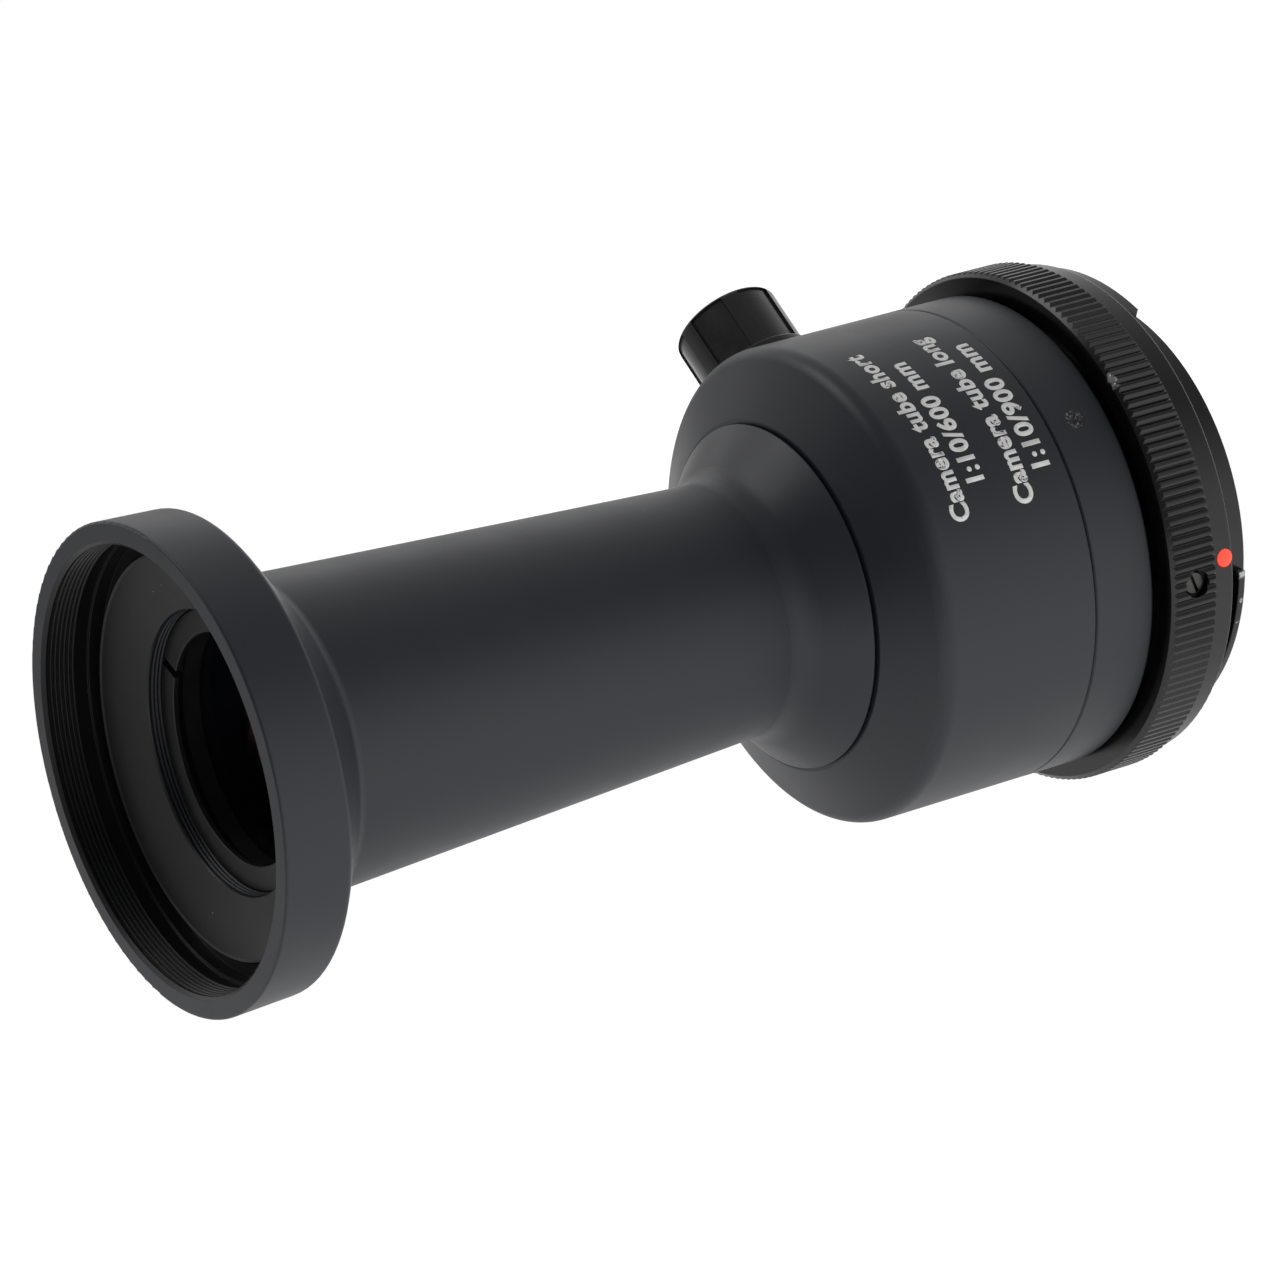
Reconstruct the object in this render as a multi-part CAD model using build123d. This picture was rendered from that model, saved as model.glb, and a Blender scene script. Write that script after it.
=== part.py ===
from build123d import *
import os
from math import cos, radians, sin

# Camera adapter for a spotting scope: a threaded collar at the scope end, a tapered lens tube, a
# rotating housing with a clamp knob, and a T2 camera ring with a three-lug bayonet.
#
# Millimetres. +X is the optical axis, from the scope to the camera, and +Z is up. The origin is the
# centre of the collar's front face. Angles round the axis are measured from +Z towards -Y.

# ---- driving dimensions -------------------------------------------------------------------------
RUNNING_GAP = 0.08           # radial clearance of a part that turns on another
FITTED_GAP = 0.05            # radial clearance of a part that is only assembled into another

COLLAR_RADIUS = 29.95
COLLAR_REAR_RADIUS = 29.55
COLLAR_LENGTH = 8.8
SCOPE_THREAD_CREST = 27.15   # crest radius of the internal thread that takes the scope
SCOPE_THREAD_DEPTH = 0.35
SCOPE_THREAD_PITCH = 0.6
SCOPE_THREAD_TURNS = 6
SCOPE_RELIEF_RADIUS = 27.66
SEAT_X = 6.4                 # depth of the seat that the scope's end comes up against

TUBE_FRONT_X = 16.0          # where the collar's rear cone meets the tapered tube
TUBE_FRONT_RADIUS = 19.55
TUBE_TAPER = 0.055           # loss of radius per mm of tube
LENS_BORE_RADIUS = 16.6
LENS_RADIUS = LENS_BORE_RADIUS - FITTED_GAP
FIRST_LENS_X = 15.0          # front and rear rims of the lens group
LAST_LENS_X = 32.4
OUTER_BULGE = 1.5            # bulge of the group's first and last face
CEMENT_BULGE = 2.2           # bulge of the faces where crown and flint glass are cemented
LIGHT_BORE_RADIUS = 14.2

FLANGE_X = 87.45             # rear face of the tube's flared flange
FLANGE_RADIUS = 22.06
SPIGOT_RADIUS = 20.0         # journal that the housing turns on
SPIGOT_BORE_RADIUS = 16.6
CLAMP_X = 104.6              # clamp knob's place along the axis
CLAMP_ANGLE = -60.0
CLAMP_GROOVE_RADIUS = 18.6
NUT_X = 108.8
SPIGOT_END_X = 112.6

HOUSING_RADIUS = 30.36
SHOULDER_X = 92.15           # where the housing's front cone would meet its side
HOUSING_FRONT_X = 87.75
HOUSING_SEAM_X = 114.55
END_RING_X = 114.6
END_RING_REAR_X = 123.3
SEAL_X = 118.65
SEAL_ANGLE = 39.7

T2_THREAD_RADIUS = 21.0      # M42 x 0.75 stub on the end ring
T2_RING_OUTER = 26.5
T2_RING_FRONT_X = 123.4
T2_RING_REAR_X = 131.25

KNURL_RADIUS = 33.0
KNURL_TEETH = 170
KNURL_DEPTH = 0.34
KNURL_FRONT_X = 124.47
KNURL_REAR_X = 131.45
GRUB_X = 128.25
GRUB_ANGLE = 83.5
GRUB_COUNT = 3
INDEX_X = 133.15
INDEX_ANGLE = 79.8
MOUNT_FACE_X = 134.44
MOUNT_FACE_RADIUS = 32.1
BARREL_RADIUS = 26.9
BARREL_END_X = 140.3
THROAT_RADIUS = 24.0
LUG_RADIUS = 28.9
LUG_FRONT_X = 137.9
LUG_REAR_X = 139.0
LUG_START_ANGLES = (87.2, 207.2)
LUG_WIDTH_ANGLE = 51.0
THICK_LUG_RADIUS = 31.2      # the third lug is a thick one that stands on the camera face itself
THICK_LUG_REAR_X = 136.8
THICK_LUG_START_ANGLE = -35.0
THICK_LUG_WIDTH_ANGLE = 50.5

KNOB_RADIUS = 7.1
KNOB_BASE = 31.0             # height of the knob's underside above the optical axis, when clamped
KNOB_TOP = 41.1
CLAMP_SCREW_RADIUS = 2.0


# ---- helpers ------------------------------------------------------------------------------------
def turned(*outline, angle=360):
    """Solid of revolution about X. Each outline point is (x, radius) or (x, radius, corner radius)."""
    face = make_face(Polyline([point[:2] for point in outline], close=True))
    for x, radius, corner in [point for point in outline if len(point) == 3]:
        vertex = face.vertices().sort_by_distance((x, radius))[0]
        face = fillet(vertex, corner)
    return revolve(face, Axis.X, angle)


def at_angle(angle, shape):
    """Turn a shape that was modelled straight above the axis to its angle round the axis."""
    return Rot(angle, 0, 0) * shape


def radial_post(x, radius, low, high):
    """Cylinder that stands straight above the axis, between two heights."""
    return Pos(x, 0, (low + high) / 2) * Cylinder(radius, high - low)


def ring_groove(x, wall_radius, width, depth, outward=True):
    """Ring to cut as a V groove into a cylindrical wall, either a bore's wall or a shaft's."""
    bottom = wall_radius + depth if outward else wall_radius - depth
    mouth = wall_radius - 0.1 if outward else wall_radius + 0.1
    return turned((x - width / 2, mouth), (x + width / 2, mouth), (x + width / 2, wall_radius),
                  (x, bottom), (x - width / 2, wall_radius))


def light_trap(first_x, pitch, count, bore_radius):
    """Row of fine V grooves that keeps stray light from skating along a bore."""
    groove_width = pitch * 0.8
    return [ring_groove(first_x + pitch * index, bore_radius, groove_width, groove_width / 2)
            for index in range(count)]


def tube_radius(x):
    """Outside radius of the tapered tube."""
    return TUBE_FRONT_RADIUS - TUBE_TAPER * (x - TUBE_FRONT_X)


def dome_height(bulge, radius):
    """How far a lens face of this bulge stands out of the glass at a radius, the rim being 0."""
    if bulge == 0:
        return 0
    ball = (LENS_RADIUS**2 + bulge**2) / (2 * abs(bulge))
    height = (ball**2 - radius**2) ** 0.5 - (ball - abs(bulge))
    return height if bulge > 0 else -height


# ---- front tube and what it carries -------------------------------------------------------------
def front_tube():
    """Collar, tapered tube, flared flange and spigot, turned in one piece."""
    flare_x = (FLANGE_X - FLANGE_RADIUS + TUBE_FRONT_RADIUS + TUBE_TAPER * TUBE_FRONT_X) / (1 + TUBE_TAPER)
    thread_end_x = 4.4
    lens_shoulder_x = LAST_LENS_X + dome_height(OUTER_BULGE, LIGHT_BORE_RADIUS)
    lip_radius = 24.7
    undercut_x = SEAT_X + 1.8
    body = turned(
        (0, COLLAR_RADIUS, 0.3),
        (COLLAR_LENGTH, COLLAR_REAR_RADIUS, 0.9),
        (TUBE_FRONT_X, TUBE_FRONT_RADIUS, 2.0),
        (flare_x, tube_radius(flare_x), 5.0),
        (FLANGE_X, FLANGE_RADIUS, 0.15),
        (FLANGE_X, SPIGOT_RADIUS),
        (CLAMP_X - 3.4, SPIGOT_RADIUS),
        (CLAMP_X - 2.9, CLAMP_GROOVE_RADIUS),
        (CLAMP_X + 2.9, CLAMP_GROOVE_RADIUS),
        (CLAMP_X + 3.4, SPIGOT_RADIUS),
        (NUT_X - 0.6, SPIGOT_RADIUS),
        (NUT_X - 0.6, SPIGOT_RADIUS - 0.5),
        (SPIGOT_END_X, SPIGOT_RADIUS - 0.5, 0.3),
        (SPIGOT_END_X, SPIGOT_BORE_RADIUS, 0.3),
        (FLANGE_X + 4, SPIGOT_BORE_RADIUS),
        (FLANGE_X + 1, LIGHT_BORE_RADIUS),
        (lens_shoulder_x, LIGHT_BORE_RADIUS),
        (lens_shoulder_x, LENS_BORE_RADIUS),
        (FIRST_LENS_X, LENS_BORE_RADIUS),
        (FIRST_LENS_X, 17.3),
        (8.95, 17.3),
        (8.7, 17.44),
        (SEAT_X + 0.2, lip_radius - 0.25),
        (SEAT_X, lip_radius),
        (SEAT_X + 0.2, lip_radius + 0.2),
        (undercut_x, lip_radius + 0.2),
        (undercut_x, SCOPE_RELIEF_RADIUS - 0.3),
        (SEAT_X, SCOPE_RELIEF_RADIUS - 0.3),
        (SEAT_X - 0.05, SCOPE_RELIEF_RADIUS),
        (thread_end_x, SCOPE_RELIEF_RADIUS),
        (thread_end_x, SCOPE_THREAD_CREST),
        (0.4, SCOPE_THREAD_CREST),
        (0, SCOPE_THREAD_CREST + 0.45),
    )
    first_groove_x = 0.9
    groove_width = SCOPE_THREAD_PITCH * 0.8
    scope_thread = [
        ring_groove(first_groove_x + SCOPE_THREAD_PITCH * turn, SCOPE_THREAD_CREST, groove_width,
                    SCOPE_THREAD_DEPTH)
        for turn in range(SCOPE_THREAD_TURNS)
    ]
    retainer_thread = [ring_groove(9.35 + 0.5 * turn, 17.3, 0.36, 0.2) for turn in range(3)]
    return body - scope_thread - retainer_thread - light_trap(FLANGE_X + 5.5, 1.2, 15, SPIGOT_BORE_RADIUS)


def front_retaining_ring():
    """Slotted ring that screws down on the front lens."""
    ring_front_x = 10.53
    hole_radius = 14.17
    seat_radius = 15.2
    ring_rear_x = FIRST_LENS_X - dome_height(OUTER_BULGE, seat_radius)
    slot_width = 1.1
    slot_depth = 1.3
    slot_angle = -72.0
    ring = turned((ring_front_x, hole_radius, 0.15), (ring_front_x, 17.25, 0.2), (ring_rear_x, 17.25),
                  (ring_rear_x, seat_radius), (12.4, seat_radius), (11.2, hole_radius))
    slot = Pos(ring_front_x, 0, 0) * Box(2 * slot_depth, slot_width, 2 * LENS_BORE_RADIUS + 4)
    return ring - at_angle(slot_angle, slot)


def lens(front_x, rear_x, front_bulge, rear_bulge):
    """Round lens with a cylindrical edge. A bulge is the height of a face's middle, out of the glass."""
    middle = LENS_RADIUS * 0.55

    def face_line(x, bulge, direction):
        crown = (x + direction * bulge, 0)
        rim = (x, LENS_RADIUS)
        if bulge == 0:
            return Line(crown, rim)
        return ThreePointArc(crown, (x + direction * dome_height(bulge, middle), middle), rim)

    front = face_line(front_x, front_bulge, -1)
    rear = face_line(rear_x, rear_bulge, 1)
    edge = Line((front_x, LENS_RADIUS), (rear_x, LENS_RADIUS))
    axis_line = Line((front_x - front_bulge, 0), (rear_x + rear_bulge, 0))
    return revolve(make_face([front, edge, rear, axis_line]), Axis.X)


def front_crown_lens():
    return lens(FIRST_LENS_X, 17.0, OUTER_BULGE, CEMENT_BULGE)


def front_flint_lens():
    return lens(17.0, 20.4, -CEMENT_BULGE, 0)


def rear_flint_lens():
    return lens(27.0, 30.4, 0, -CEMENT_BULGE)


def rear_crown_lens():
    return lens(30.4, LAST_LENS_X, CEMENT_BULGE, OUTER_BULGE)


def spacer(front_x, rear_x, hole_radius):
    """Plain distance ring that fits the lens bore."""
    return turned((front_x, hole_radius), (front_x, LENS_RADIUS), (rear_x, LENS_RADIUS), (rear_x, hole_radius))


def front_spacer():
    return spacer(20.4, 23.4, 14.8)


def aperture_stop():
    return spacer(23.4, 23.9, 9.6)


def rear_spacer():
    return spacer(23.9, 27.0, 14.8)


def tube_baffle():
    """Knife-edged ring half way down the tube."""
    outer = LIGHT_BORE_RADIUS - FITTED_GAP
    return turned((60.0, 11.6), (60.4, 11.6), (62.4, 13.4), (62.4, outer), (60.0, outer))


def front_friction_washer():
    inner = SPIGOT_RADIUS + RUNNING_GAP
    return turned((FLANGE_X, inner), (FLANGE_X, 21.5), (FLANGE_X + 0.2, 21.5), (FLANGE_X + 0.2, inner))


def rear_friction_washer():
    rear_x = NUT_X
    front_x = rear_x - 0.5
    inner = SPIGOT_RADIUS + RUNNING_GAP
    return turned((front_x, inner), (front_x, 23.6), (rear_x, 23.6), (rear_x, inner))


def spigot_nut():
    """Ring nut that keeps the housing on the spigot, with four slots for a pin spanner."""
    inner = SPIGOT_RADIUS - 0.5 + FITTED_GAP
    outer = 23.7
    rear_x = 112.0
    nut = turned((NUT_X, inner), (NUT_X, outer), (rear_x, outer, 0.3), (rear_x, inner))
    slots = [at_angle(45 + 90 * index, Pos(rear_x, 0, outer) * Box(2.4, 2.2, 3.6)) for index in range(4)]
    return nut - slots


# ---- housing and what turns with it -------------------------------------------------------------
def housing():
    """Thick-walled drum that turns on the spigot, with the clamp screw's hole and the pad's pocket."""
    bevel_start_radius = FLANGE_RADIUS + HOUSING_FRONT_X - FLANGE_X
    bore = SPIGOT_RADIUS + RUNNING_GAP
    hub_rear_x = NUT_X - 0.55
    stub_end_x = 120.4
    drum = turned(
        (HOUSING_FRONT_X, bevel_start_radius, 0.1),
        (SHOULDER_X, HOUSING_RADIUS, 2.4),
        (HOUSING_SEAM_X - 0.22, HOUSING_RADIUS),
        (HOUSING_SEAM_X, HOUSING_RADIUS - 0.25),
        (HOUSING_SEAM_X, 27.3),
        (stub_end_x, 27.3, 0.3),
        (stub_end_x, 24.6),
        (hub_rear_x, 24.6, 0.5),
        (hub_rear_x, bore),
        (HOUSING_FRONT_X, bore),
    )
    pad_pocket = radial_post(CLAMP_X, 2.75, SPIGOT_RADIUS - 1, 24.2)
    screw_hole = radial_post(CLAMP_X, CLAMP_SCREW_RADIUS + FITTED_GAP, 24.0, HOUSING_RADIUS + 1)
    return drum - at_angle(CLAMP_ANGLE, pad_pocket) - at_angle(CLAMP_ANGLE, screw_hole)


def end_ring():
    """Cap that screws over the housing's stub and ends in the T2 thread."""
    bore = 27.3 + FITTED_GAP
    light_bore = 17.6
    web_x = 120.6
    stub_end_x = 128.2
    ring = turned(
        (END_RING_X, HOUSING_RADIUS - 0.25),
        (END_RING_X + 0.22, HOUSING_RADIUS),
        (END_RING_REAR_X, HOUSING_RADIUS, 0.35),
        (END_RING_REAR_X, T2_THREAD_RADIUS),
        (stub_end_x, T2_THREAD_RADIUS, 0.5),
        (stub_end_x, light_bore, 0.3),
        (web_x, light_bore),
        (web_x, bore),
        (END_RING_X, bore),
    )
    thread = [ring_groove(124.4 + 0.75 * turn, T2_THREAD_RADIUS, 0.6, 0.4, outward=False) for turn in range(5)]
    screw_hole = at_angle(SEAL_ANGLE, radial_post(SEAL_X, 1.3, 26, HOUSING_RADIUS + 1))
    return ring - thread - screw_hole - light_trap(121.6, 1.1, 6, light_bore)


def end_ring_screw():
    """Small set screw that locks the end ring on the housing."""
    low = 27.3 + FITTED_GAP
    high = 29.4
    screw = radial_post(SEAL_X, 1.25, low, high)
    slot = Pos(SEAL_X, 0, high) * Box(0.4, 4, 1.0)
    return at_angle(SEAL_ANGLE, screw - slot)


def seal_lacquer():
    """Drop of lacquer that fills the hole over the set screw."""
    return at_angle(SEAL_ANGLE, radial_post(SEAL_X, 1.25, 29.45, HOUSING_RADIUS - 0.12))


def t2_thread_ring():
    """Inner ring of the camera ring, with the female T2 thread and a groove for the grub screws."""
    bore = T2_THREAD_RADIUS + FITTED_GAP
    ring = turned((T2_RING_FRONT_X, bore, 0.3), (T2_RING_FRONT_X, T2_RING_OUTER, 0.3),
                  (T2_RING_REAR_X, T2_RING_OUTER, 0.2), (T2_RING_REAR_X, bore, 0.3))
    thread = [ring_groove(124.8 + 0.75 * turn, bore, 0.6, 0.4) for turn in range(8)]
    screw_groove = ring_groove(GRUB_X, T2_RING_OUTER, 2.6, 1.1, outward=False)
    return ring - thread - screw_groove


def knurled_band():
    """Straight knurl: lands and 90 degree grooves round the ring, chamfered at both ends."""
    pitch_angle = 360 / KNURL_TEETH
    land_share = 0.3
    points = []
    for tooth in range(KNURL_TEETH):
        middle = tooth * pitch_angle
        half_land = pitch_angle * land_share / 2
        corners = [(middle - half_land, KNURL_RADIUS), (middle + half_land, KNURL_RADIUS),
                   (middle + pitch_angle / 2, KNURL_RADIUS - KNURL_DEPTH)]
        points += [(radius * cos(radians(a)), radius * sin(radians(a))) for a, radius in corners]
    section = make_face(Polyline(points, close=True))
    prism = extrude(Plane.YZ.offset(KNURL_FRONT_X) * section, KNURL_REAR_X - KNURL_FRONT_X)
    core_radius = 31.9
    blank = turned(
        (KNURL_FRONT_X, core_radius),
        (KNURL_FRONT_X, KNURL_RADIUS - 0.6),
        (KNURL_FRONT_X + 0.65, KNURL_RADIUS + 0.1),
        (KNURL_REAR_X - 0.5, KNURL_RADIUS + 0.1),
        (KNURL_REAR_X, KNURL_RADIUS - 0.6),
        (KNURL_REAR_X, core_radius),
    )
    return blank & prism


def bayonet_ring():
    """Outer ring: knurled grip, camera face, bayonet barrel, two thin lugs and a thick one."""
    bore = T2_RING_OUTER + RUNNING_GAP
    web_x = 126.9
    recess_radius = 29.8
    ring = turned(
        (KNURL_FRONT_X, recess_radius, 0.2),
        (KNURL_FRONT_X, 32.2),
        (KNURL_REAR_X, 32.2),
        (KNURL_REAR_X + 0.1, MOUNT_FACE_RADIUS),
        (MOUNT_FACE_X, MOUNT_FACE_RADIUS, 0.3),
        (MOUNT_FACE_X, BARREL_RADIUS),
        (BARREL_END_X, BARREL_RADIUS, 0.15),
        (BARREL_END_X, THROAT_RADIUS + 0.6),
        (BARREL_END_X - 1.2, THROAT_RADIUS),
        (T2_RING_REAR_X + 0.1, THROAT_RADIUS),
        (T2_RING_REAR_X + 0.1, bore),
        (web_x, bore),
        (web_x, recess_radius, 0.3),
    )
    ring += knurled_band()
    lug_outline = ((LUG_FRONT_X, BARREL_RADIUS - 0.5), (LUG_FRONT_X, LUG_RADIUS, 0.2),
                   (LUG_REAR_X, LUG_RADIUS, 0.3), (LUG_REAR_X, BARREL_RADIUS - 0.5))
    thick_outline = ((MOUNT_FACE_X - 1, BARREL_RADIUS - 0.5), (MOUNT_FACE_X - 1, THICK_LUG_RADIUS),
                     (THICK_LUG_REAR_X, THICK_LUG_RADIUS, 0.25), (THICK_LUG_REAR_X, BARREL_RADIUS - 0.5))
    # An outline lies at -90 degrees, so each lug is turned on by 90 degrees to its start.
    for start_angle in LUG_START_ANGLES:
        ring += at_angle(start_angle + 90, turned(*lug_outline, angle=LUG_WIDTH_ANGLE))
    ring += at_angle(THICK_LUG_START_ANGLE + 90, turned(*thick_outline, angle=THICK_LUG_WIDTH_ANGLE))
    grub_hole = radial_post(GRUB_X, 1.5, 25, 32) + radial_post(GRUB_X, 1.75, 31.7, 34)
    for index in range(GRUB_COUNT):
        ring -= at_angle(GRUB_ANGLE + 120 * index, grub_hole)
    ring -= at_angle(INDEX_ANGLE, radial_post(INDEX_X, 1.2, 31.3, 33))
    lock_pin_slot = at_angle(25, Pos(MOUNT_FACE_X, 0, 30.0) * Rot(0, 90, 0) * SlotOverall(3.4, 2.2))
    ring -= extrude(lock_pin_slot, 2.0, both=True)
    return ring - light_trap(132.4, 1.1, 6, THROAT_RADIUS)


def ring_grub_screws():
    """Slotted grub screws whose points sit in the thread ring's groove."""
    top = 32.1
    outline = Polyline((0, 25.9), (0.5, 25.9), (1.45, 27.0), (1.45, top - 0.15), (1.3, top), (0, top), close=True)
    screw = revolve(Plane.XZ * make_face(outline), Axis.Z)
    slot = Pos(0, 0, top) * Rot(0, 0, 22.6) * Box(0.45, 4, 1.2)
    screw = Pos(GRUB_X, 0, 0) * (screw - slot)
    return Compound([at_angle(GRUB_ANGLE + 120 * index, screw) for index in range(GRUB_COUNT)])


def index_dot():
    """Domed dot that shows how the camera goes on."""
    dome_radius = 4.0
    post = radial_post(INDEX_X, 1.15, 31.35, MOUNT_FACE_RADIUS + 0.25)
    dome = Pos(INDEX_X, 0, MOUNT_FACE_RADIUS + 0.22 - dome_radius) * Sphere(dome_radius)
    return at_angle(INDEX_ANGLE, post & dome)


# ---- clamp --------------------------------------------------------------------------------------
def clamp_pad():
    """Loose pad that the screw pushes against the spigot's groove."""
    pad = radial_post(CLAMP_X, 2.65, CLAMP_GROOVE_RADIUS + 0.1, 22.4)
    socket = radial_post(CLAMP_X, 1.35, 21.3, 23)
    return at_angle(CLAMP_ANGLE, pad - socket)


def clamp_screw():
    """Threaded stud, moulded into the knob, with a plain tip that turns in the pad."""
    shank = radial_post(CLAMP_X, CLAMP_SCREW_RADIUS - FITTED_GAP, 22.5, KNOB_BASE + 5.5)
    tip = radial_post(CLAMP_X, 1.2, 21.4, 22.6)
    return at_angle(CLAMP_ANGLE, shank + tip)


def clamp_knob():
    """Moulded knob with six wide sunk panels, six narrow ribs between them and a flange below."""
    rib_count = 6
    panel_angle = 41.0
    panel_depth = 0.32
    first_rib_angle = 13.0
    flange_radius = KNOB_RADIUS + 0.55
    flange_top = KNOB_BASE + 1.2
    outline = Polyline(
        (0, KNOB_BASE), (flange_radius, KNOB_BASE), (flange_radius, flange_top),
        (KNOB_RADIUS, flange_top + 0.3), (KNOB_RADIUS, KNOB_TOP), (0, KNOB_TOP), close=True)
    section = make_face(outline)
    section = fillet(section.vertices().sort_by_distance((KNOB_RADIUS, KNOB_TOP))[0], 0.7)
    section = fillet(section.vertices().sort_by_distance((flange_radius, flange_top))[0], 0.3)
    knob = revolve(Plane.XZ * section, Axis.Z)
    panel_bottom = flange_top + 0.3
    panel_top = KNOB_TOP - 0.45
    panel_outline = Polyline(
        (KNOB_RADIUS - panel_depth, panel_bottom), (KNOB_RADIUS + 1, panel_bottom),
        (KNOB_RADIUS + 1, panel_top), (KNOB_RADIUS - panel_depth, panel_top), close=True)
    panel = revolve(Plane.XZ * make_face(panel_outline), Axis.Z, panel_angle)
    for index in range(rib_count):
        knob -= Rot(0, 0, first_rib_angle + 30 + 60 * index - panel_angle / 2) * panel
    knob -= Pos(0, 0, KNOB_BASE + 2.7) * Cylinder(CLAMP_SCREW_RADIUS - FITTED_GAP, 5.6)
    return at_angle(CLAMP_ANGLE, Pos(CLAMP_X, 0, 0) * knob)


# ---- write every piece --------------------------------------------------------------------------
PIECES = [
    front_tube, front_retaining_ring, front_crown_lens, front_flint_lens, front_spacer, aperture_stop,
    rear_spacer, rear_flint_lens, rear_crown_lens, tube_baffle, front_friction_washer,
    rear_friction_washer, spigot_nut, housing, end_ring, end_ring_screw, seal_lacquer, t2_thread_ring,
    bayonet_ring, ring_grub_screws, index_dot, clamp_pad, clamp_screw, clamp_knob,
]

os.makedirs("parts", exist_ok=True)
for piece in PIECES:
    export_step(piece(), f"parts/{piece.__name__}.step")
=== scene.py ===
import math

import bmesh
import bpy
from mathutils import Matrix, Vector, noise


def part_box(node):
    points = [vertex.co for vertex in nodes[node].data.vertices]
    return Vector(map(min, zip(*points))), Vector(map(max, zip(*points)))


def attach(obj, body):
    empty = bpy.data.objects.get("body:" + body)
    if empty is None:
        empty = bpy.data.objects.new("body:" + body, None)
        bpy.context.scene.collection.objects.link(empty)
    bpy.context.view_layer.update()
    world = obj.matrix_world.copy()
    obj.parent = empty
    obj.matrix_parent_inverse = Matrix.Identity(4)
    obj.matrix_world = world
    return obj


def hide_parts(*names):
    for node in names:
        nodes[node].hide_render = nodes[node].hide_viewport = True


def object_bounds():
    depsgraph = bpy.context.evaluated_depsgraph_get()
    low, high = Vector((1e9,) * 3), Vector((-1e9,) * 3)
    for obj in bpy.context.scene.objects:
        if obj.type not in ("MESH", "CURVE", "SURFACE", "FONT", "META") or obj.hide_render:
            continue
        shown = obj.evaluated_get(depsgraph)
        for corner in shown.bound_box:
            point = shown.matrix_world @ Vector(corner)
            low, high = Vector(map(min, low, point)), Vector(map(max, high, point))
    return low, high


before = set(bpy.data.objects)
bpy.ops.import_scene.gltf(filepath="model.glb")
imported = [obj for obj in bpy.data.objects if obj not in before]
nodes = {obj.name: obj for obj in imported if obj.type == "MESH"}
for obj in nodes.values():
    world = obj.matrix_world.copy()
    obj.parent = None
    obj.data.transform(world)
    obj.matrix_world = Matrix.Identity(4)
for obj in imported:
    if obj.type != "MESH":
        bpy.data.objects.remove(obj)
cad_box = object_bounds()

MM = 0.001


# ---- places, worked out from the frame -----------------------------------------------------------
def radial(angle_deg):
    """Unit vector away from the optical axis, at an angle from +Z towards -Y."""
    angle = math.radians(angle_deg)
    return Vector((0, -math.sin(angle), math.cos(angle)))


def on_ring(x, radius, angle_deg):
    """Point at a place along the optical axis, a radius from it and an angle round it."""
    return radial(angle_deg) * radius + Vector((x, 0, 0))


def angle_of(point):
    """Angle round the optical axis of a point, from +Z towards -Y."""
    return math.degrees(math.atan2(-point.y, point.z))


def box_centre(node):
    low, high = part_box(node)
    return (Vector(low) + Vector(high)) / 2


def outer_radius(node):
    low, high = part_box(node)
    return (high[1] - low[1]) / 2


HOUSING_RADIUS = outer_radius("housing")
SEAL_CENTRE = box_centre("seal_lacquer")
SEAL_ANGLE = angle_of(SEAL_CENTRE)
HOUSING_END_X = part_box("end_ring")[0][0]
RING_FRONT_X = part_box("bayonet_ring")[0][0]
RING_RADIUS = outer_radius("bayonet_ring")
RING_REAR_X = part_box("bayonet_ring")[1][0]
LIP_CHAMFER_X = RING_FRONT_X + 0.35 * MM
LIP_CHAMFER_RADIUS = RING_RADIUS - 0.3 * MM
LUG_MIDDLE_X = RING_REAR_X - 1.85 * MM
LUG_RADIUS = RING_RADIUS - 3.9 * MM
# Places where the camera ring has lost its finish, and how far each patch of wear reaches.
WEAR_SPOTS = [
    (on_ring(LIP_CHAMFER_X, LIP_CHAMFER_RADIUS, 33.4), 0.95 * MM),
    (on_ring(LIP_CHAMFER_X, LIP_CHAMFER_RADIUS, 34.6), 1.35 * MM),
    (on_ring(LIP_CHAMFER_X, LIP_CHAMFER_RADIUS, 36.2), 1.15 * MM),
    (on_ring(LUG_MIDDLE_X, LUG_RADIUS, 87.5), 1.5 * MM),
    (on_ring(LUG_MIDDLE_X, LUG_RADIUS, 95.0), 1.05 * MM),
    (on_ring(LUG_MIDDLE_X, LUG_RADIUS, 101.0), 1.0 * MM),
]
COLLAR_WALL = 2.2 * MM
COLLAR_BORE_RADIUS = outer_radius("front_tube") - COLLAR_WALL
COLLAR_LENGTH = 8.95 * MM
SCAR_FADE = 0.12 * MM


# ---- node graphs ---------------------------------------------------------------------------------
class Graph:
    """Short way to write a material's or a world's node graph."""

    def __init__(self, tree):
        self.tree = tree
        self.tree.nodes.clear()

    def add(self, kind, inputs=None, **settings):
        node = self.tree.nodes.new(kind)
        for name, value in settings.items():
            setattr(node, name, value)
        for name, value in (inputs or {}).items():
            self.put(value, node.inputs[name])
        return node

    def put(self, value, socket):
        if isinstance(value, bpy.types.NodeSocket):
            self.tree.links.new(value, socket)
        else:
            socket.default_value = value

    def math(self, operation, first, second=0.0, clamp=False):
        node = self.add("ShaderNodeMath", {0: first, 1: second}, operation=operation, use_clamp=clamp)
        return node.outputs[0]

    def noise(self, where, size, detail=2.0, roughness=0.5):
        """Noise whose features are about this many metres across."""
        node = self.add("ShaderNodeTexNoise", {"Vector": where, "Scale": 1 / size, "Detail": detail,
                                               "Roughness": roughness})
        return node.outputs["Fac"]

    def ramp(self, value, low, high, low_to=0.0, high_to=1.0):
        """Straight ramp between two values, held flat outside them."""
        node = self.add("ShaderNodeMapRange", {"Value": value, "From Min": low, "From Max": high,
                                               "To Min": low_to, "To Max": high_to}, clamp=True)
        return node.outputs["Result"]

    def mix(self, share, first, second):
        node = self.add("ShaderNodeMix", {"Factor": share, 6: first, 7: second}, data_type="RGBA")
        return node.outputs[2]


def rgba(red, green, blue):
    return (red, green, blue, 1.0)


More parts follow.
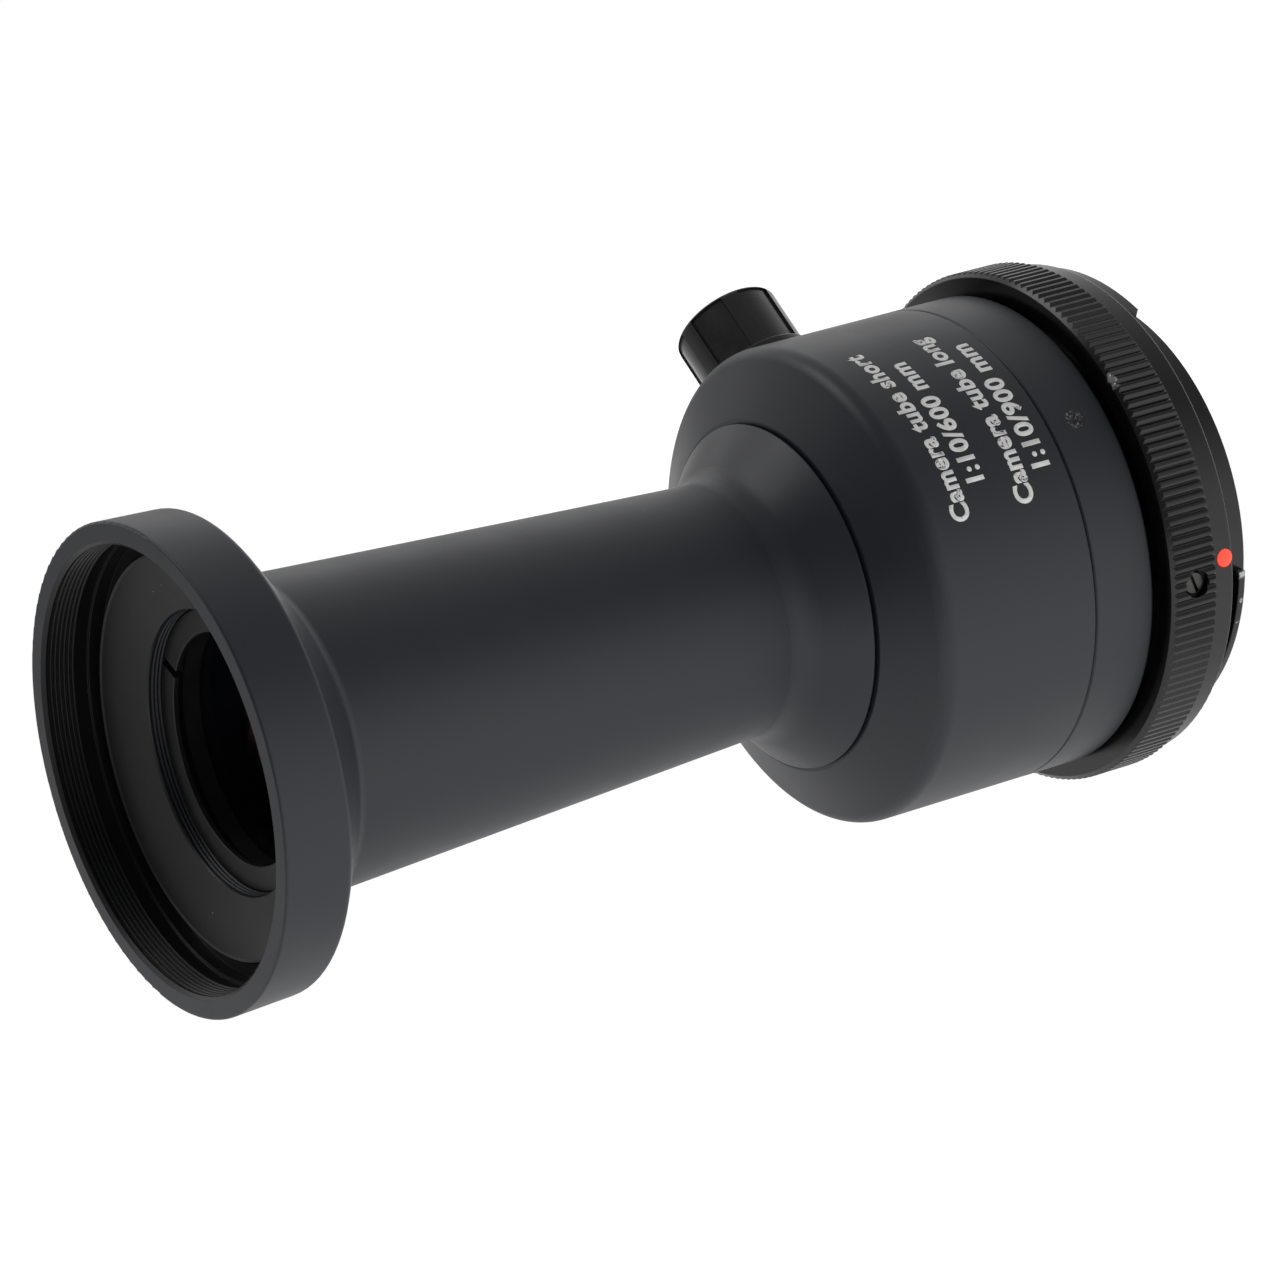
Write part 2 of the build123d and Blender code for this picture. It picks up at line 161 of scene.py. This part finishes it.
def start_material(name):
    material = bpy.data.materials.new(name)
    material.use_nodes = True
    graph = Graph(material.node_tree)
    where = graph.add("ShaderNodeTexCoord").outputs["Object"]
    return material, graph, where


def end_material(graph, **inputs):
    """Principled shader with these inputs, on the material's output."""
    names = {name.replace("_", " "): value for name, value in inputs.items()}
    shader = graph.add("ShaderNodeBsdfPrincipled", names)
    graph.add("ShaderNodeOutputMaterial", {"Surface": shader.outputs[0]})
    return shader


def rounded_normal(graph, edge_radius):
    """Normal that looks rounded over by this radius at every edge."""
    return graph.add("ShaderNodeBevel", {"Radius": edge_radius}, samples=4).outputs[0]


def bump(graph, height, depth, normal=None):
    inputs = {"Height": height, "Distance": depth, "Strength": 1.0}
    if normal is not None:
        inputs["Normal"] = normal
    return graph.add("ShaderNodeBump", inputs).outputs[0]


def dust(graph, where, cell, share, speck):
    """Mask of sparse round specks: one in a share of the cells, each about a speck across."""
    cells = graph.add("ShaderNodeTexVoronoi", {"Vector": where, "Scale": 1 / cell, "Randomness": 1.0})
    near = graph.ramp(cells.outputs["Distance"], speck / cell * 0.6, speck / cell, 1.0, 0.0)
    pick = graph.add("ShaderNodeSeparateColor", {"Color": cells.outputs["Color"]}).outputs[0]
    chosen = graph.math("LESS_THAN", pick, share)
    return graph.math("MULTIPLY", near, chosen)


# ---- materials -----------------------------------------------------------------------------------
def inside_shade_and_finish_mask(graph, where):
    """One inside the collar and tube, where the finish is duller and the colour carries painted shade, and
    on the collar's front face.
    """
    place = graph.add("ShaderNodeSeparateXYZ", {"Vector": where})
    across = graph.math("MULTIPLY", place.outputs["Y"], place.outputs["Y"])
    upward = graph.math("MULTIPLY", place.outputs["Z"], place.outputs["Z"])
    radius = graph.math("SQRT", graph.math("ADD", across, upward))
    within = graph.math("LESS_THAN", radius, COLLAR_BORE_RADIUS)
    in_front = graph.math("LESS_THAN", place.outputs["X"], COLLAR_LENGTH)
    return graph.math("MULTIPLY", within, in_front)


def satin_anodised():
    """Blasted and black anodised aluminium: fine grain, faint blue tint, a few specks of dust, and painted
    shade darkening the inside of the collar and tube.
    """
    material, graph, where = start_material("satin_black_anodised")
    cloud = graph.noise(where, 9 * MM, 3.0)
    grain = graph.noise(where, 0.11 * MM, 2.0, 0.6)
    inside = inside_shade_and_finish_mask(graph, where)
    tint = graph.mix(cloud, rgba(0.0075, 0.0090, 0.0140), rgba(0.0100, 0.0120, 0.0185))
    # Painted shade: the colour inside the collar and tube is darkened.
    tint = graph.mix(inside, tint, rgba(0.0055, 0.0060, 0.0058))
    outside_specks = dust(graph, where, 3.4 * MM, 0.06, 0.06 * MM)
    inside_specks = graph.math("MULTIPLY", inside, dust(graph, where, 1.5 * MM, 0.16, 0.09 * MM))
    specks = graph.math("MAXIMUM", outside_specks, inside_specks)
    colour = graph.mix(specks, tint, rgba(0.45, 0.45, 0.45))
    uneven = graph.math("ADD", cloud, graph.math("MULTIPLY", grain, 0.6))
    rough = graph.ramp(uneven, 0.4, 1.2, 0.38, 0.48)
    rough = graph.math("SUBTRACT", rough, graph.math("MULTIPLY", inside, 0.08))
    shine = graph.ramp(inside, 0.0, 1.0, 0.52, 0.42)
    normal = bump(graph, grain, 0.006 * MM, rounded_normal(graph, 0.14 * MM))
    end_material(graph, Base_Color=colour, Roughness=rough, Specular_IOR_Level=shine, Normal=normal, IOR=1.5)
    return material


def matte_anodised():
    """Dull black finish of the parts inside the tube."""
    material, graph, where = start_material("matte_black_anodised")
    cloud = graph.noise(where, 4 * MM, 3.0)
    grain = graph.noise(where, 0.09 * MM, 2.0, 0.6)
    tint = graph.mix(cloud, rgba(0.007, 0.007, 0.0075), rgba(0.011, 0.011, 0.0115))
    specks = dust(graph, where, 2.0 * MM, 0.06, 0.05 * MM)
    colour = graph.mix(specks, tint, rgba(0.3, 0.3, 0.3))
    rough = graph.ramp(cloud, 0.3, 0.7, 0.42, 0.52)
    normal = bump(graph, grain, 0.005 * MM, rounded_normal(graph, 0.12 * MM))
    end_material(graph, Base_Color=colour, Roughness=rough, Normal=normal, IOR=1.5)
    return material


def gloss_anodised():
    """Smoother black of the camera ring, with bare scars on its front lip and lug, and rubbed edges."""
    material, graph, where = start_material("gloss_black_anodised")
    cloud = graph.noise(where, 6 * MM, 3.0)
    grain = graph.noise(where, 0.2 * MM, 3.0, 0.6)
    tint = graph.mix(cloud, rgba(0.0018, 0.0020, 0.0023), rgba(0.0034, 0.0036, 0.0040))
    chips = graph.math("MULTIPLY", graph.noise(where, 0.35 * MM, 4.0, 0.7), 1.6 * MM)
    scar = None
    for spot, reach in WEAR_SPOTS:
        away = graph.add("ShaderNodeVectorMath", {0: where, 1: spot}, operation="DISTANCE")
        ragged = graph.math("ADD", away.outputs["Value"], chips)
        chipped = graph.ramp(ragged, reach - SCAR_FADE, reach + SCAR_FADE, 1.0, 0.0)
        scar = chipped if scar is None else graph.math("MAXIMUM", scar, chipped)
    edge = graph.math("SUBTRACT", 1.0, graph.add("ShaderNodeVectorMath", {
        0: rounded_normal(graph, 0.07 * MM), 1: graph.add("ShaderNodeNewGeometry").outputs["Normal"],
    }, operation="DOT_PRODUCT").outputs["Value"])
    worn = graph.math("MULTIPLY", graph.ramp(edge, 0.08, 0.3, 0.0, 0.22), graph.ramp(cloud, 0.42, 0.6))
    specks = dust(graph, where, 2.2 * MM, 0.14, 0.08 * MM)
    bare = graph.math("ADD", scar, graph.math("ADD", worn, specks), clamp=True)
    colour = graph.mix(bare, tint, rgba(0.42, 0.42, 0.43))
    rough = graph.ramp(graph.math("ADD", cloud, bare), 0.3, 0.9, 0.19, 0.30)
    normal = bump(graph, grain, 0.004 * MM, rounded_normal(graph, 0.15 * MM))
    end_material(graph, Base_Color=colour, Roughness=rough, Normal=normal, Metallic=scar, IOR=1.5)
    return material


def lens_glass(name, glint):
    """Clear coated glass: straight through, since cemented faces touch, with a faint coloured gloss."""
    material, graph, where = start_material(name)
    smear = graph.noise(where, 5 * MM, 3.0)
    specks = dust(graph, where, 1.4 * MM, 0.16, 0.05 * MM)
    tint = graph.mix(smear, rgba(0.86, 0.88, 0.90), rgba(0.92, 0.94, 0.95))
    through = graph.add("ShaderNodeBsdfTransparent", {"Color": tint})
    coat_rough = graph.ramp(smear, 0.3, 0.8, 0.02, 0.04)
    coat = graph.add("ShaderNodeBsdfAnisotropic", {"Color": glint, "Roughness": coat_rough})
    fresnel = graph.add("ShaderNodeFresnel", {"IOR": 1.12}).outputs[0]
    behind = graph.add("ShaderNodeNewGeometry").outputs["Backfacing"]
    share = graph.math("MULTIPLY", fresnel, graph.math("SUBTRACT", 1.0, behind))
    glass = graph.add("ShaderNodeMixShader", {0: share, 1: through.outputs[0], 2: coat.outputs[0]})
    dirt = graph.add("ShaderNodeBsdfDiffuse", {"Color": rgba(0.30, 0.30, 0.29)})
    surface = graph.add("ShaderNodeMixShader", {0: specks, 1: glass.outputs[0], 2: dirt.outputs[0]})
    graph.add("ShaderNodeOutputMaterial", {"Surface": surface.outputs[0]})
    return material


def moulded_plastic(name, base, rough_low, rough_high, edge_radius):
    """Injection-moulded plastic with a fine spark-eroded skin."""
    material, graph, where = start_material(name)
    cloud = graph.noise(where, 3 * MM, 2.0)
    skin = graph.noise(where, 0.16 * MM, 3.0, 0.55)
    dark = rgba(*(0.85 * part for part in base))
    light = rgba(*(1.2 * part for part in base))
    specks = dust(graph, where, 2.2 * MM, 0.08, 0.05 * MM)
    colour = graph.mix(specks, graph.mix(cloud, dark, light), rgba(0.25, 0.25, 0.25))
    rough = graph.ramp(cloud, 0.3, 0.7, rough_low, rough_high)
    normal = bump(graph, skin, 0.004 * MM, rounded_normal(graph, edge_radius))
    end_material(graph, Base_Color=colour, Roughness=rough, Normal=normal, IOR=1.48)
    return material


def turned_metal(name, dark, light, rough_low, rough_high):
    """Turned metal: tool marks across the face and a slightly uneven tarnish."""
    material, graph, where = start_material(name)
    cloud = graph.noise(where, 0.8 * MM, 4.0, 0.6)
    marks = graph.noise(where, 0.05 * MM, 2.0)
    colour = graph.mix(cloud, dark, light)
    rough = graph.ramp(cloud, 0.3, 0.7, rough_low, rough_high)
    normal = bump(graph, marks, 0.003 * MM, rounded_normal(graph, 0.06 * MM))
    end_material(graph, Base_Color=colour, Roughness=rough, Normal=normal, Metallic=1.0)
    return material


def locking_lacquer():
    """Grey-black lacquer that dried rough."""
    material, graph, where = start_material("grey_lacquer")
    lumps = graph.noise(where, 0.35 * MM, 4.0, 0.65)
    colour = graph.mix(graph.ramp(lumps, 0.50, 0.68), rgba(0.008, 0.008, 0.009), rgba(0.20, 0.20, 0.21))
    rough = graph.ramp(lumps, 0.4, 0.7, 0.55, 0.22)
    normal = bump(graph, lumps, 0.08 * MM)
    end_material(graph, Base_Color=colour, Roughness=rough, Normal=normal, IOR=1.5)
    return material


def red_enamel_painted_glow():
    """Glossy enamel in the index dot, with a painted red glow from a faint emission."""
    material, graph, where = start_material("red_plastic")
    cloud = graph.noise(where, 0.7 * MM, 2.0)
    colour = graph.mix(cloud, rgba(0.90, 0.050, 0.020), rgba(1.0, 0.085, 0.035))
    rough = graph.ramp(cloud, 0.3, 0.7, 0.18, 0.3)
    normal = bump(graph, cloud, 0.02 * MM)
    shader = end_material(graph, Base_Color=colour, Roughness=rough, Normal=normal, IOR=1.5)
    # Painted glow: a faint red emission that brightens the dot though it is no lamp.
    shader.inputs["Emission Color"].default_value = rgba(1.0, 0.07, 0.03)
    shader.inputs["Emission Strength"].default_value = 0.35
    return material


def print_ink():
    """Silver-white pad-printed ink, a little uneven where it is thin."""
    material, graph, where = start_material("white_print")
    patch = graph.noise(where, 0.12 * MM, 3.0, 0.7)
    colour = graph.mix(patch, rgba(0.72, 0.72, 0.71), rgba(0.88, 0.88, 0.87))
    rough = graph.ramp(patch, 0.3, 0.7, 0.45, 0.6)
    normal = bump(graph, patch, 0.003 * MM)
    end_material(graph, Base_Color=colour, Roughness=rough, Normal=normal, IOR=1.5)
    return material


# ---- the CAD nodes' finishes ---------------------------------------------------------------------
SATIN = satin_anodised()
MATTE = matte_anodised()
GLOSS = gloss_anodised()
CROWN_GLASS = lens_glass("coated_crown_glass", rgba(0.75, 0.42, 0.50))
FLINT_GLASS = lens_glass("coated_flint_glass", rgba(0.85, 0.40, 0.22))
WASHER = moulded_plastic("washer_plastic", (0.012, 0.012, 0.012), 0.5, 0.6, 0.03 * MM)
KNOB_PLASTIC = moulded_plastic("black_plastic", (0.010, 0.010, 0.0115), 0.24, 0.34, 0.06 * MM)
STEEL = turned_metal("blackened_steel", rgba(0.055, 0.055, 0.053), rgba(0.10, 0.10, 0.097), 0.34, 0.46)
BRASS = turned_metal("pad_brass", rgba(0.55, 0.40, 0.16), rgba(0.70, 0.53, 0.24), 0.25, 0.4)
LACQUER = locking_lacquer()
ENAMEL_PAINTED_GLOW = red_enamel_painted_glow()
INK = print_ink()

FINISHES = {
    "front_tube": SATIN, "housing": SATIN, "end_ring": SATIN,
    "front_retaining_ring": MATTE, "front_spacer": MATTE, "aperture_stop": MATTE, "rear_spacer": MATTE,
    "tube_baffle": MATTE, "spigot_nut": MATTE,
    "front_crown_lens": CROWN_GLASS, "rear_crown_lens": CROWN_GLASS,
    "front_flint_lens": FLINT_GLASS, "rear_flint_lens": FLINT_GLASS,
    "front_friction_washer": WASHER, "rear_friction_washer": WASHER,
    "bayonet_ring": GLOSS, "t2_thread_ring": GLOSS,
    "ring_grub_screws": STEEL, "end_ring_screw": STEEL, "clamp_screw": STEEL,
    "clamp_pad": BRASS, "clamp_knob": KNOB_PLASTIC, "index_dot": ENAMEL_PAINTED_GLOW, "seal_lacquer": LACQUER,
}


def finish_nodes():
    for name, material in FINISHES.items():
        slots = nodes[name].material_slots
        for slot in slots:
            slot.material = material


# ---- pieces that Blender adds --------------------------------------------------------------------
def add_piece(name, mesh_maker, material, body):
    mesh = bpy.data.meshes.new(name)
    maker = bmesh.new()
    mesh_maker(maker)
    bmesh.ops.recalc_face_normals(maker, faces=maker.faces)
    maker.to_mesh(mesh)
    maker.free()
    mesh.materials.append(material)
    piece = bpy.data.objects.new(name, mesh)
    bpy.context.scene.collection.objects.link(piece)
    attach(piece, body)
    return piece


# Printed lines: text, then the places along the axis of its capitals' top and of its baseline.
PRINT_ANGLE = 29.8
PRINT_LINES = {
    "print_line_1": ("Camera tube short", -18.3 * MM, -15.75 * MM, 27.8 * MM),
    "print_line_2": ("1:10/600 mm", -14.45 * MM, -11.95 * MM, 19.6 * MM),
    "print_line_3": ("Camera tube long", -8.7 * MM, -6.1 * MM, 27.8 * MM),
    "print_line_4": ("1:10/900 mm", -4.8 * MM, -2.25 * MM, 20.5 * MM),
}
INK_HEIGHT = 0.02 * MM
INK_ROOT = 0.02 * MM


def flat_text(text):
    """Mesh of a line of bold text in the XY plane, from the built-in font."""
    curve = bpy.data.curves.new("print_text", "FONT")
    curve.body = text
    curve.align_x = "CENTER"
    curve.offset = 0.036
    curve.space_character = 1.06
    curve.resolution_u = 6
    source = bpy.data.objects.new("print_text", curve)
    bpy.context.scene.collection.objects.link(source)
    bpy.context.view_layer.update()
    depsgraph = bpy.context.evaluated_depsgraph_get()
    mesh = bpy.data.meshes.new_from_object(source.evaluated_get(depsgraph))
    bpy.data.objects.remove(source)
    bpy.data.curves.remove(curve)
    return mesh


def capital_height():
    """Height of a capital letter in the flat text's units."""
    mesh = flat_text("N")
    height = max(v.co.y for v in mesh.vertices)
    bpy.data.meshes.remove(mesh)
    return height


def print_line(name, text, top_x, base_x, width):
    """One printed line, wrapped round the housing as a thin closed shell of ink."""
    flat = flat_text(text)
    low = min(v.co.x for v in flat.vertices)
    high = max(v.co.x for v in flat.vertices)
    scale_x = width / (high - low)
    scale_y = (base_x - top_x) / capital_height()

    def make(maker):
        maker.from_mesh(flat)
        bmesh.ops.remove_doubles(maker, verts=maker.verts, dist=1e-5)
        step = 0.6 * MM / scale_x
        for cut in range(1, int((high - low) / step)):
            plane_x = low + cut * step
            geometry = maker.verts[:] + maker.edges[:] + maker.faces[:]
            bmesh.ops.bisect_plane(maker, geom=geometry, plane_co=(plane_x, 0, 0), plane_no=(1, 0, 0))
        shell = bmesh.ops.extrude_face_region(maker, geom=maker.faces[:])
        raised = {item for item in shell["geom"] if isinstance(item, bmesh.types.BMVert)}
        for vert in maker.verts:
            height = INK_HEIGHT if vert in raised else -INK_ROOT
            turn = PRINT_ANGLE - math.degrees(vert.co.x * scale_x / HOUSING_RADIUS)
            x = HOUSING_END_X + base_x - vert.co.y * scale_y
            vert.co = radial(turn) * (HOUSING_RADIUS + height) + Vector((x, 0, 0))

    piece = add_piece(name, make, INK, "housing")
    bpy.data.meshes.remove(flat)


def lacquer_patch():
    """Lump of dried lacquer that fills the screw's hole and has crept a little over its rim."""
    outward = radial(SEAL_ANGLE)
    across = Vector((1, 0, 0)).cross(outward)
    rings = 14
    sides = 48
    reach = 1.32 * MM
    depth = 0.5 * MM

    def top_point(radius, angle):
        x = radius * math.cos(angle)
        side = radius * math.sin(angle)
        turn = side / HOUSING_RADIUS
        spot = Vector((x, side, 0)) / MM
        lump = noise.fractal(spot * 2.6, 0.8, 2.0, 5) * 0.16 * MM
        fade = 1 - (radius / reach) ** 4
        height = HOUSING_RADIUS + (lump + 0.03 * MM) * fade - 0.02 * MM * (1 - fade)
        direction = outward * math.cos(turn) + across * math.sin(turn)
        return Vector((SEAL_CENTRE.x + x, 0, 0)) + direction * height

    def make(maker):
        centre = maker.verts.new(top_point(0, 0))
        previous = None
        for ring in range(1, rings + 1):
            radius = reach * ring / rings
            row = [maker.verts.new(top_point(radius, 2 * math.pi * side / sides)) for side in range(sides)]
            for side in range(sides):
                after = (side + 1) % sides
                if previous is None:
                    maker.faces.new((centre, row[side], row[after]))
                else:
                    maker.faces.new((previous[side], row[side], row[after], previous[after]))
            previous = row
        foot = [maker.verts.new(vert.co - outward * depth) for vert in previous]
        for side in range(sides):
            after = (side + 1) % sides
            maker.faces.new((previous[side], foot[side], foot[after], previous[after]))
        maker.faces.new(foot)

    piece = add_piece("lacquer_patch", make, LACQUER, "housing")
    for polygon in piece.data.polygons:
        polygon.use_smooth = True
    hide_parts("seal_lacquer")


# ---- floor, light and camera ---------------------------------------------------------------------
CAMERA_AZIMUTH = -33.7
CAMERA_ELEVATION = 25.3
CAMERA_DISTANCE = 0.7386
CAMERA_LENS = 170.3
CAMERA_AIM_BACK = 2.35 * MM     # the aim point lies this far towards the scope from the part's middle
CAMERA_AIM_DROP = 0.78 * MM     # and this far below the optical axis
FLOOR_HALF_WIDTH = 6.0


def floor():
    """White light table, dimmer under the part (a painted shadow of the part) and to its left, and plain
    white where it is seen.
    """
    mesh = bpy.data.meshes.new("floor")
    half = FLOOR_HALF_WIDTH
    level = cad_box[0].z
    corners = [(-half, -half, level), (half, -half, level), (half, half, level), (-half, half, level)]
    mesh.from_pydata(corners, [], [(0, 1, 2, 3)])
    material, graph, where = start_material("floor")
    place = graph.add("ShaderNodeSeparateXYZ", {"Vector": where})
    forward = graph.math("SUBTRACT", place.outputs["X"], place.outputs["Y"])
    side = graph.math("ABSOLUTE", place.outputs["Y"])
    # Painted shadow: the table's glow is dimmed in a strip under the part.
    shaded = graph.ramp(side, 0.01, 0.09, 0.74, 1.15)
    cast = graph.math("MULTIPLY", graph.ramp(forward, -0.13, 0.0, 0.42, 1.0), shaded)
    seen = graph.add("ShaderNodeLightPath").outputs["Is Camera Ray"]
    strength = graph.math("MAXIMUM", cast, seen)
    glow = graph.add("ShaderNodeEmission", {"Color": rgba(1, 1, 1), "Strength": strength})
    graph.add("ShaderNodeOutputMaterial", {"Surface": glow.outputs[0]})
    mesh.materials.append(material)
    sheet = bpy.data.objects.new("floor", mesh)
    bpy.context.scene.collection.objects.link(sheet)


def light_tent():
    """World that is white at the horizon, darker overhead and to the left, and plain white where seen."""
    world = bpy.data.worlds.new("tent")
    world.use_nodes = True
    bpy.context.scene.world = world
    graph = Graph(world.node_tree)
    direction = graph.add("ShaderNodeTexCoord").outputs["Generated"]
    parts = graph.add("ShaderNodeSeparateXYZ", {"Vector": direction})
    zenith = graph.ramp(parts.outputs["Y"], -0.4, 0.4, 0.22, 0.5)
    rise = graph.ramp(parts.outputs["Z"], 0.25, 0.78)
    loss = graph.math("SUBTRACT", 1.0, zenith)
    overhead = graph.math("SUBTRACT", 1.0, graph.math("MULTIPLY", rise, loss))
    left = graph.ramp(parts.outputs["X"], -0.8, -0.15, 0.2, 1.0)
    strength = graph.math("MULTIPLY", graph.math("MULTIPLY", overhead, left), 1.04)
    seen = graph.add("ShaderNodeLightPath").outputs["Is Camera Ray"]
    shown = graph.math("MAXIMUM", strength, seen)
    background = graph.add("ShaderNodeBackground", {"Color": rgba(1, 1, 1), "Strength": shown})
    graph.add("ShaderNodeOutputWorld", {"Surface": background.outputs[0]})


def soft_light(name, place, aim, size, power):
    light = bpy.data.lights.new(name, "AREA")
    light.shape = "RECTANGLE"
    light.size, light.size_y = size
    light.energy = power
    lamp = bpy.data.objects.new(name, light)
    lamp.location = place
    lamp.rotation_mode = "QUATERNION"
    lamp.rotation_quaternion = (Vector(aim) - Vector(place)).to_track_quat("-Z", "Y")
    bpy.context.scene.collection.objects.link(lamp)


def camera():
    centre = (cad_box[0] + cad_box[1]) / 2
    aim = Vector((centre.x - CAMERA_AIM_BACK, 0, -CAMERA_AIM_DROP))
    turn = math.radians(CAMERA_AZIMUTH)
    rise = math.radians(CAMERA_ELEVATION)
    back = Vector((math.sin(turn) * math.cos(rise), -math.cos(turn) * math.cos(rise), math.sin(rise)))
    data = bpy.data.cameras.new("camera")
    data.sensor_width = 36.0
    data.lens = CAMERA_LENS
    data.clip_start = 0.05
    data.clip_end = 50.0
    shot = bpy.data.objects.new("camera", data)
    shot.location = aim + back * CAMERA_DISTANCE
    shot.rotation_mode = "QUATERNION"
    shot.rotation_quaternion = (-back).to_track_quat("-Z", "Y")
    bpy.context.scene.collection.objects.link(shot)
    bpy.context.scene.camera = shot


# ---- make everything -----------------------------------------------------------------------------
camera()
floor()
light_tent()
soft_light("back_left_box", (-0.9, 1.1, 1.3), (0.07, 0, 0), (0.9, 0.9), 6.0)
bpy.context.scene.view_settings.view_transform = "Standard"

finish_nodes()
for line_name, (text, top, base, width) in PRINT_LINES.items():
    print_line(line_name, text, top, base, width)
lacquer_patch()
